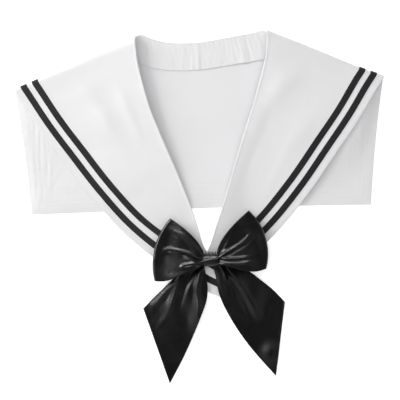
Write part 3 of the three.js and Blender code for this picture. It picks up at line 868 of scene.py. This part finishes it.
# Folds that run out from the knot, and some back again: line, height, half width of the gentle side
# at its start and end, and hollow under the steep side, which is the left one above 0
loop_folds = {
    "left": [
        ([
            (-4, -1), (-9, 0.4), (-14.6, 2), (-24, 7), (-34, 10),
            (-44, 12), (-49.5, 10.5), (-45, 8.4), (-34, 7),
        ], 1.5, 1.9, 2.6, 0.9),
        ([
            (-4, -3), (-9, -3.8), (-19.5, -4.4), (-28.5, -5.6), (-30.4, -7.4), (-26, -8.2), (-17, -7),
        ], 1.1, 1.5, 2, 0.8),
        ([(-4, 1), (-8, 4), (-17, 14), (-27, 25), (-38, 32), (-50, 38)], 1.5, 1.6, 2.8, 0.5),
        ([(-26, -15), (-38, -18), (-52, -19)], 0.7, 3, 5, 0.3),
    ],
    "right": [
        ([
            (3, -1), (8, 1), (17, 6), (26, 11), (35, 16.4),
            (41, 22), (42.4, 25.4), (39, 26), (32, 21.6),
        ], 1.7, 1.9, 2.4, -0.35),
        ([(4, 0.6), (12, 0.4), (21.5, -0.4), (31, -0.4), (40, 0.6), (44, 3.4)], 1.3, 1.3, 2, -0.8),
        ([(3, -1), (6, 4), (9.5, 11), (14.5, 20.6), (21, 33)], 1.2, 1.4, 2.6, -0.6),
        ([(10, -3), (28, -8), (48, -10)], 0.4, 2.6, 5, -0.2),
    ],
}


def fold_heights(x, y, folds):
    """Heights of folds along lines, each gentle on one side and steep on the other."""
    total = np.zeros(x.shape)
    for line, rise, start_width, end_width, hollow in folds:
        offset, along = beside(x, y, line)
        across = offset * np.sign(hollow) / mix(start_width, end_width, along)
        crest = np.where(across < 0, np.exp(-(across**2)), np.exp(-((across / 0.55) ** 2)))
        dip = np.exp(-(((across - 1.5) / 0.8) ** 2))
        total += rise * (1 - ease(0.55, 1, along)) * (crest - abs(hollow) * dip)
    return total


def satin_finish():
    """Black satin: glossy, with fine threads lengthwise that break up its shine."""
    material, tree = new_finish("black_satin", {"Specular IOR Level": 0.6})
    place = tree.node("ShaderNodeUVMap", {"uv_map": "cloth"})
    stretched = tree.node("ShaderNodeMapping", inputs={"Vector": place, "Scale": (150, 2600, 1)})
    floats = tree.node("ShaderNodeTexNoise", inputs={"Vector": stretched, "Scale": 1, "Detail": 3})
    crumple = tree.node("ShaderNodeTexNoise", inputs={"Vector": place, "Scale": 130, "Detail": 3})
    cloud = tree.node("ShaderNodeTexNoise", inputs={"Vector": place, "Scale": 35, "Detail": 2})
    height = floats * 0.9 + crumple * 0.5
    bump = tree.node("ShaderNodeBump", inputs={"Strength": 0.45, "Distance": 0.3 * MM, "Height": height})
    feed(material, {
        "Base Color": blended((0.0015, 0.0015, 0.0017), (0.0035, 0.0035, 0.0038), cloud),
        "Roughness": cloud * 0.1 + 0.23,
        "Normal": bump,
    })
    return material


def lay_loop(shape, folds):
    """Middle surface of a loop, from the knot out underneath and back on top."""
    low = np.linspace(-loop_tuck, 0, 8, endpoint=False)
    out = np.concatenate([low, np.linspace(0, loop_open, loop_along)])
    turn = np.linspace(-1, 1, loop_turn)[1:-1]
    reach = np.concatenate([out, loop_open + (1 - loop_open) * (1 - turn**2), out[::-1]])
    cap = np.sin(turn * math.pi / 2)
    level = np.concatenate([-np.ones(len(out)), cap, np.ones(len(out))])
    reach, v = np.meshgrid(reach, np.linspace(0, 1, loop_across), indexing="ij")
    level = np.broadcast_to(level[:, None], reach.shape)
    angle = np.radians(mix(*shape["angles"], v))
    length = loop_reach * mix(*shape["reaches"], v) * (1 - shape["cut"] * np.sin(math.pi * v))
    mouth = knot_width / 2 - 0.6
    freed = np.clip(reach, 0, 1)
    x = np.where(reach < 0, mouth * (1 + reach), mix(mouth, length * np.cos(angle), freed))
    y = mix(pinch_width * (0.5 - v), length * np.sin(angle), freed ** mix(*shape["swings"], v))
    y = y - shape["belly"] * v**3 * np.sin(math.pi * freed**1.8)
    half = mix(pinch_half, loop_puff, np.sin(np.clip(freed / 0.5, 0, 1) * math.pi / 2))
    half = half * mix(1, loop_flatter, ease(0.5, 0.95, freed))
    pleats = np.cos(2 * math.pi * pleat_count * v + 0.5) * mix(0.4, 0, ease(0, 0.3, freed)) * np.abs(level)
    droop = loop_droop * freed**2 * mix(0.55, 1, v)
    z = half * level + pleats - droop
    x = shape["side"] * x
    top = ease(0.2, 0.9, level) * ease(-0.2, 0.12, reach)
    z = z + top * fold_heights(x, y, folds) + 0.25 * freed * ripple(x, y, 20, 30 + shape["side"])
    sunken = ease(0.1, 0.5, freed) * top * np.sin(math.pi * v) ** 2 * (1 - ease(0.75, 1, reach))
    z = z - loop_hollow * sunken
    return np.dstack([x, y, z])


satin = satin_finish()
for name, shape in loop_shapes.items():
    grid = lay_loop(shape, loop_folds[name]) + knot_middle
    if shape["side"] < 0:
        grid = grid[:, ::-1]
    loop = cloth_piece("loop_" + name, grid, -ribbon_thickness / 2, ribbon_thickness / 2, satin)
    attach(loop, "root")
    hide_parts("bow_loop_" + name)

# Bow tails
# The two ends of the same ribbon come out from behind the knot, spread in long folds over the
# lapped front ends and lie on the table, cut on the slant.
tail_reach = 132
tail_along = 170
tail_across = 90
tail_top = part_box("bow_pin")[1].z / MM + 0.3 + ribbon_thickness / 2
tail_ground = ribbon_thickness / 2
tail_belly = 1.6  # between its edges it stands up by this
tail_pleat = 0.35
tail_wave = 26
tail_wave_height = 0.35
tail_hem = 0.4
tail_hem_place = 1.4  # the rolled hem is this far from the cut end

# From the knot (0) to the end (1): places of the outer and inner edge, as shares of the reach from
# the middle of the knot, and the height, as a share of the height at the knot
tail_shapes = {
    "left": (-1, np.array([
        (0, 0.01, 0.04, 0.05, -0.035, 1),
        (0.05, 0.09, 0.0, 0.052, -0.075, 0.99),
        (0.12, 0.16, -0.03, 0.039, -0.15, 0.97),
        (0.3, 0.31, -0.15, 0.038, -0.31, 0.85),
        (0.5, 0.415, -0.245, 0.1, -0.48, 0.5),
        (0.75, 0.495, -0.318, 0.232, -0.765, 0.08),
        (1, 0.565, -0.386, 0.37, -1.01, 0),
    ])),
    "right": (1, np.array([
        (0, 0.01, 0.04, 0.016, -0.035, 1),
        (0.05, 0.09, 0.0, 0.021, -0.07, 0.99),
        (0.12, 0.16, -0.025, 0.034, -0.125, 0.98),
        (0.3, 0.31, -0.112, 0.06, -0.29, 0.88),
        (0.5, 0.42, -0.2, 0.135, -0.47, 0.5),
        (0.75, 0.51, -0.28, 0.285, -0.715, 0.08),
        (1, 0.596, -0.376, 0.5, -0.98, 0),
    ])),
}
# Folds as in the loops. One of them is a valley, with its height below 0.
tail_folds = {
    "left": [
        ([
            (-8, -4), (-21, -8), (-30, -16), (-37, -27), (-41, -38), (-46, -53), (-53, -65), (-66, -80),
        ], 2.3, 2.5, 3.6, 0.05),
        ([
            (-7, -8), (-11.5, -15), (-14.5, -27), (-15, -39), (-15, -52), (-19, -66), (-30, -88),
        ], 2.6, 2.4, 5, 0.05),
        ([(-13, -10), (-19, -14.5), (-27.5, -30), (-34, -48), (-39, -60)], -1.3, 2, 5, 0.05),
        ([(-32, -19), (-46, -31), (-60, -46), (-70, -58)], 1.4, 2.4, 5, 0.2),
    ],
    "right": [
        ([(6, -4), (11, -9), (14.6, -16), (16, -24), (20, -36)], 1.7, 1.4, 2.4, 0.9),
        ([(5, -8), (9, -18), (12, -30), (20, -50)], 1.6, 3.6, 5, 0.3),
        ([(17, -10), (28, -24), (38, -42), (48, -62), (54, -80)], 1.7, 2.2, 6, -0.9),
    ],
}
# A broad swell near each end: place, half width and length, and height
tail_swells = {"left": (-13, -64, 9, 17, 5.4), "right": (62, -104, 12, 13, 4.1)}
for name, (side, rows) in tail_shapes.items():
    at = np.linspace(0, 1, tail_along)
    outer_x, outer_y, inner_x, inner_y, high = between(rows, at)[:, :, None]
    v = np.linspace(0, 1, tail_across)[None]
    x = side * mix(outer_x, inner_x, v) * tail_reach
    y = mix(outer_y, inner_y, v) * tail_reach
    spread = at[:, None]
    pleats = (1 + np.cos(2 * math.pi * pleat_count * v + 1)) * tail_pleat * (1 - ease(0, 0.14, spread))
    level = mix(tail_ground, tail_top, np.clip(high, 0, 1))
    folds = fold_heights(x, y, tail_folds[name]) * ease(0, 0.07, spread) * (1 - ease(0.86, 1, spread))
    swell_x, swell_y, half_width, half_length, rise = tail_swells[name]
    swell = rise * np.exp(-(((x - swell_x) / half_width) ** 2) - ((y - swell_y) / half_length) ** 2)
    swell = swell + tail_belly * np.sin(math.pi * v) ** 2 * np.sin(math.pi * spread**0.8)
    loose = ease(0.1, 0.35, spread) * (1 - 0.7 * ease(0.8, 1, spread))
    waves = tail_wave_height * loose * (1 + ripple(x, y, tail_wave, 40 + side))
    z = level + swell + pleats + folds + waves
    hem = tail_hem * np.exp(-(((1 - spread) * tail_reach / tail_hem_place - 1) ** 2))
    z = np.maximum(z + hem, tail_ground + 0.05)
    grid = np.dstack([x + knot_middle[0], y + knot_middle[1], z])
    if side > 0:
        grid = grid[:, ::-1]
    tail = cloth_piece("tail_" + name, grid, -ribbon_thickness / 2, ribbon_thickness / 2, satin)
    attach(tail, "root")
    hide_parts("bow_tail_" + name)

# Knot
# A short band of the satin, folded and wrapped tightly round the gathered ribbons, with one crease
# across its top. Black thread sews it to them, and shows along its upper edge.
knot_wall = 0.9
knot_around = 96
knot_across = 48
knot_height = 13
knot_square = 2.15  # how square its section is, as the power of a rounded box
knot_taper = 0.05  # its two ends are narrower by this share
crease_height = 0.13  # as a share of the section
crease_place = 1.5  # as an angle round the knot
crease_slant = 0.17
crease_half_width = 0.14
stab_count = 34
stab_length = 2.3
stab_width = 0.45
knot_centre = knot_middle - np.array((0, 1.2, 0))

turn = np.linspace(0, 2 * math.pi, knot_around, endpoint=False)
across = np.linspace(-1, 1, knot_across)
turn, across = np.meshgrid(turn, across, indexing="ij")
rounded = (np.abs(np.cos(turn)) ** knot_square + np.abs(np.sin(turn)) ** knot_square) ** (-1 / knot_square)
crease = np.exp(-(((turn - crease_place + crease_slant * across) / crease_half_width) ** 2))
section = rounded * (1 - knot_taper * across**4) + crease_height * crease
outer, inner = (
    knot_centre + np.dstack([
        across * knot_width / 2,
        np.cos(turn) * section * (knot_height / 2 - inset),
        np.sin(turn) * section * (knot_depth / 2 - inset),
    ])
    for inset in (0, knot_wall)
)
index = np.arange(knot_around * knot_across).reshape(knot_around, knot_across)
wrapped = np.vstack([index, index[:1]])
quads = [wrapped[:-1, :-1], wrapped[1:, :-1], wrapped[1:, 1:], wrapped[:-1, 1:]]
outside = np.stack([corner.ravel() for corner in quads], axis=1)
inside = outside[:, ::-1] + index.size
left_rim, right_rim = (
    np.stack([ring[:-1], ring[:-1] + index.size, ring[1:] + index.size, ring[1:]], axis=1)
    for ring in (wrapped[:, 0], wrapped[::-1, -1])
)
knot_points = np.concatenate([outer.reshape(-1, 3), inner.reshape(-1, 3)])
knot_uv = np.stack([(turn * 7).ravel(), (across * knot_width / 2).ravel()], axis=1)
knot_faces = np.concatenate([outside, inside, left_rim, right_rim])
knot = mesh_piece("knot", knot_points, knot_faces, satin, np.tile(knot_uv, (2, 1)))
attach(knot, "root")
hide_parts("bow_knot")

# The thread goes down into the cloth at every other stab, and back into the knot between them
stabs = np.arange(stab_count)
stab_across = (np.linspace(-0.43, 0.43, len(stabs)) + 0.03 * np.sin(7 * stabs)) * knot_width
on_knot = np.column_stack([stab_across, 3.4 + 0.7 * np.sin(2.1 * stabs), 0.4 + 0 * stabs])
on_cloth = np.column_stack([stab_across, 6.9 + 1.1 * np.sin(5.3 * stabs), -0.36 + 0 * stabs])
hand_rows = knot_middle + np.where(stabs[:, None] % 2, on_cloth, on_knot) * (1, 1, knot_depth)
hand_stitches = stitch_rows(
    "hand_stitches", [hand_rows], black_thread, stab_length, stab_width
)

# Pin
# A plain steel bar pin under the knot fastens the bow to the front ends. Its shape is the CAD one.
steel, tree = new_finish("pin_steel", {"Metallic": 1})
place = tree.node("ShaderNodeTexCoord", out="Object")
brushed = tree.node("ShaderNodeMapping", inputs={"Vector": place, "Scale": (60, 1800, 400)})
lines = tree.node("ShaderNodeTexNoise", inputs={"Vector": brushed, "Scale": 1, "Detail": 3})
bump = tree.node("ShaderNodeBump", inputs={"Strength": 0.3, "Distance": 0.05 * MM, "Height": lines})
feed(steel, {
    "Base Color": blended((0.5, 0.51, 0.53), (0.68, 0.69, 0.71), lines),
    "Roughness": lines * 0.2 + 0.22,
    "Normal": bump,
})
for material_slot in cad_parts["bow_pin"].material_slots:
    material_slot.material = steel
